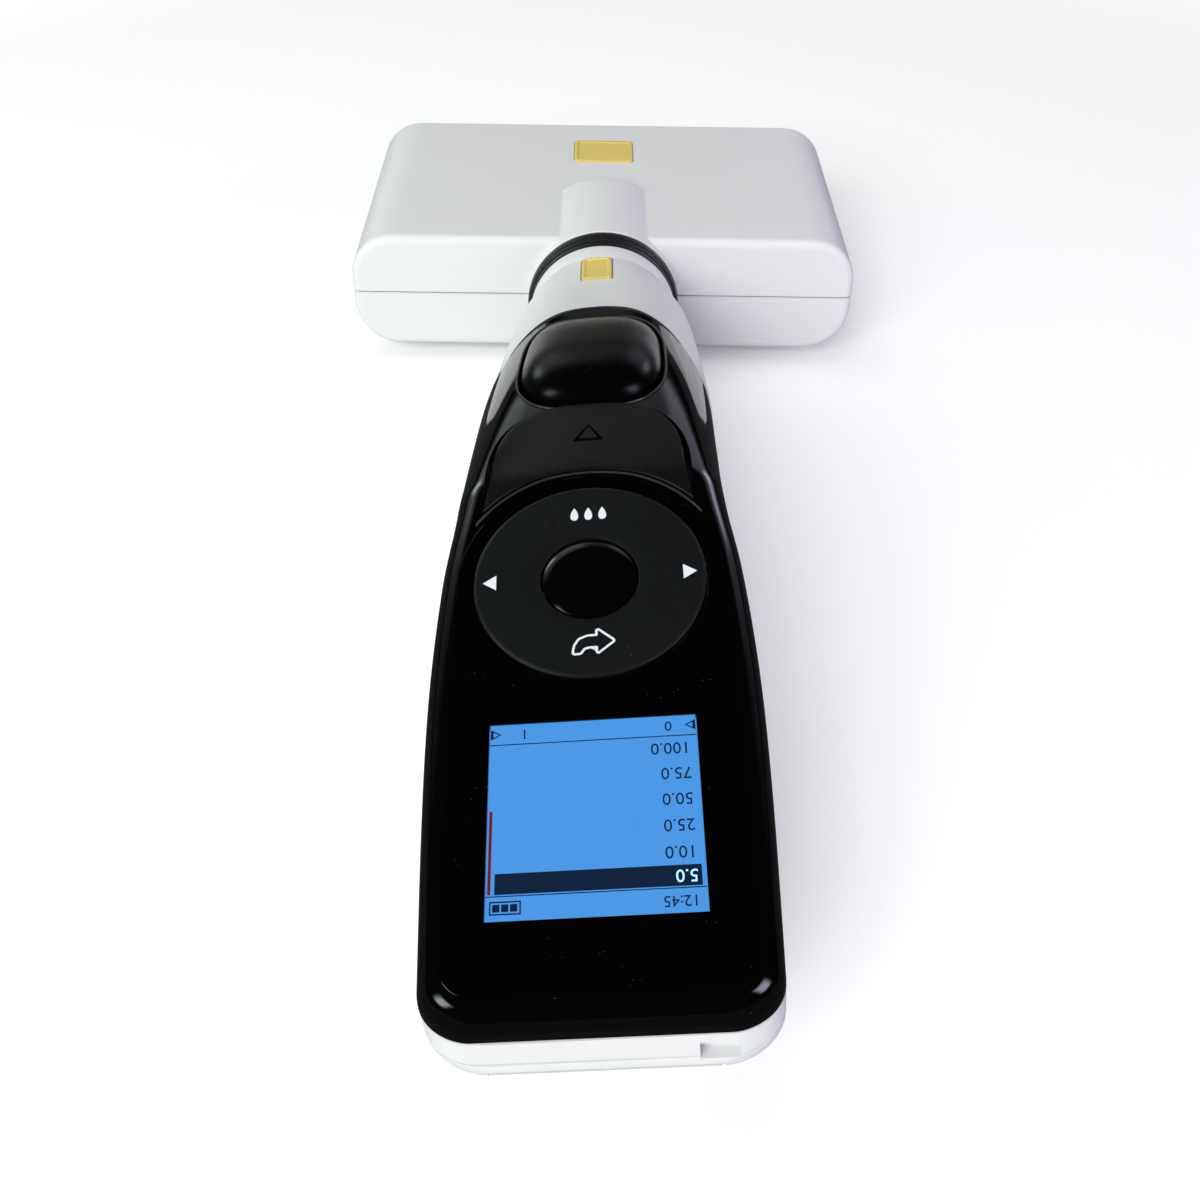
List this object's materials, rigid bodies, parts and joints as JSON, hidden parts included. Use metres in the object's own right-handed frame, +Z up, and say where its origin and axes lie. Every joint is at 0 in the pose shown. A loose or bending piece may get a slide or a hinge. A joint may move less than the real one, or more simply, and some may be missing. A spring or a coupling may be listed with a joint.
{
  "type": "multichannel pipette",
  "caption": "Electronic multichannel pipette lying on its back: display handle with touch wheel and large eject button, joined by a swivel neck to a wide, flat channel head.",
  "frame": {"origin": "on the table, under the middle of the bounding box", "axes": "+Y along the neck axis from the display end towards the tip fittings; +Z up, out of the head's front face; +X to the right when looking along +Y"},
  "size_m": [0.118, 0.2842, 0.0521],
  "materials": {
    "casing_white": "smooth white, slightly glossy",
    "fascia_black": "polished black",
    "lens_black": "polished black, flat",
    "button_black": "satin black with soft highlights",
    "wheel_black": "fine matt black with pale marks",
    "display": "lit blue display behind glass",
    "badge_yellow": "satin yellow",
    "ring_black": "satin black",
    "inner_grey": "moulded grey",
    "board_green": "lacquered circuit board",
    "battery_grey": "printed foil",
    "steel": "turned and polished",
    "brass": "turned",
    "seal_rubber": "soft black"
  },
  "bodies": {
    "handle": {"rear_shell": "casing_white", "front_shell": "casing_white", "fascia": "fascia_black", "lens_panel": "lens_black", "display_module": "display", "main_board": "board_green", "battery_pack": "battery_grey", "charging_socket": "ring_black", "finger_rest": "casing_white", "ejector_pin": "steel", "ejector_spring": "steel", "stepper_motor": "steel", "motor_mount": "inner_grey", "neck_bush": "inner_grey", "neck_badge": "badge_yellow"},
    "battery_door": {"battery_door": "casing_white"},
    "ejector_button": {"ejector_button": "button_black"},
    "ejector_sleeve": {"ejector_sleeve": "inner_grey"},
    "run_button": {"run_button": "button_black"},
    "wheel_gimbal": {"wheel_gimbal": "inner_grey"},
    "touch_wheel": {"touch_wheel": "wheel_black"},
    "ok_button": {"ok_button": "fascia_black"},
    "lead_screw": {"lead_screw": "steel"},
    "drive_rod": {"drive_rod": "brass"},
    "head": {"head_front_shell": "casing_white", "head_back_shell": "casing_white", "swivel_tube": "inner_grey", "retaining_clip": "steel", "neck_ring": "ring_black", "neck_collar": "casing_white", "head_badge": "badge_yellow", "cylinder_block": "inner_grey", "seal_plate": "seal_rubber", "tip_fitting_01": "inner_grey", "tip_fitting_02": "inner_grey", "tip_fitting_03": "inner_grey", "tip_fitting_04": "inner_grey", "tip_fitting_05": "inner_grey", "tip_fitting_06": "inner_grey", "tip_fitting_07": "inner_grey", "tip_fitting_08": "inner_grey", "tip_fitting_09": "inner_grey", "tip_fitting_10": "inner_grey", "tip_fitting_11": "inner_grey", "tip_fitting_12": "inner_grey"},
    "piston_drive": {"piston_plate": "inner_grey", "piston_01": "steel", "piston_02": "steel", "piston_03": "steel", "piston_04": "steel", "piston_05": "steel", "piston_06": "steel", "piston_07": "steel", "piston_08": "steel", "piston_09": "steel", "piston_10": "steel", "piston_11": "steel", "piston_12": "steel"},
    "tip_ejector": {"ejector_yoke": "steel", "ejector_plate": "casing_white"}
  },
  "joints": [
    {"name": "head_swivel", "type": "hinge", "parent": "handle", "child": "head", "pos_m": [0, 0.03814, 0.0175], "axis": [0, 1, 0], "continuous": true},
    {"name": "motor_spin", "type": "hinge", "parent": "handle", "child": "lead_screw", "pos_m": [0, -0.03186, 0.0175], "axis": [0, 1, 0], "range_deg": [0, 1080]},
    {"name": "rod_slide", "type": "slide", "parent": "handle", "child": "drive_rod", "axis": [0, 1, 0], "range_m": [0, 0.012]},
    {"name": "piston_slide", "type": "slide", "parent": "head", "child": "piston_drive", "axis": [0, 1, 0], "range_m": [0, 0.012]},
    {"name": "ejector_press", "type": "hinge", "parent": "handle", "child": "ejector_button", "pos_m": [-0.00125, 0.00614, 0.03044], "axis": [0.9954, 0, 0.0958], "range_deg": [0, 12], "stiffness_Nm_per_rad": 0.3, "deforming": ["ejector_spring"]},
    {"name": "sleeve_slide", "type": "slide", "parent": "handle", "child": "ejector_sleeve", "axis": [0, 1, 0], "range_m": [0, 0.0041]},
    {"name": "tip_eject", "type": "slide", "parent": "head", "child": "tip_ejector", "axis": [0, 1, 0], "range_m": [0, 0.0041]},
    {"name": "run_press", "type": "slide", "parent": "handle", "child": "run_button", "axis": [0.0928, 0.2492, -0.964], "range_m": [0, 0.0008], "stiffness_N_per_m": 300},
    {"name": "ok_press", "type": "slide", "parent": "handle", "child": "ok_button", "axis": [0.0928, 0.2492, -0.964], "range_m": [0, 0.0006], "stiffness_N_per_m": 300},
    {"name": "wheel_tilt_up_down", "type": "hinge", "parent": "handle", "child": "wheel_gimbal", "pos_m": [-0.00255, -0.07939, 0.044], "axis": [0.9954, 0, 0.0958], "range_deg": [-2, 2], "stiffness_Nm_per_rad": 0.05},
    {"name": "wheel_tilt_left_right", "type": "hinge", "parent": "wheel_gimbal", "child": "touch_wheel", "pos_m": [-0.00255, -0.07939, 0.044], "axis": [-0.0239, 0.9685, 0.248], "range_deg": [-2, 2], "stiffness_Nm_per_rad": 0.05},
    {"name": "battery_door_slide", "type": "slide", "parent": "handle", "child": "battery_door", "axis": [0, -1, 0], "range_m": [0, 0.012]}
  ],
  "couplings": [
    {"joint": "motor_spin", "follows": "piston_slide", "rad_per_m": 1570.8},
    {"joint": "rod_slide", "follows": "piston_slide", "ratio": 1},
    {"joint": "sleeve_slide", "follows": "ejector_press", "m_per_rad": 0.0191},
    {"joint": "tip_eject", "follows": "ejector_press", "m_per_rad": 0.0191}
  ]
}
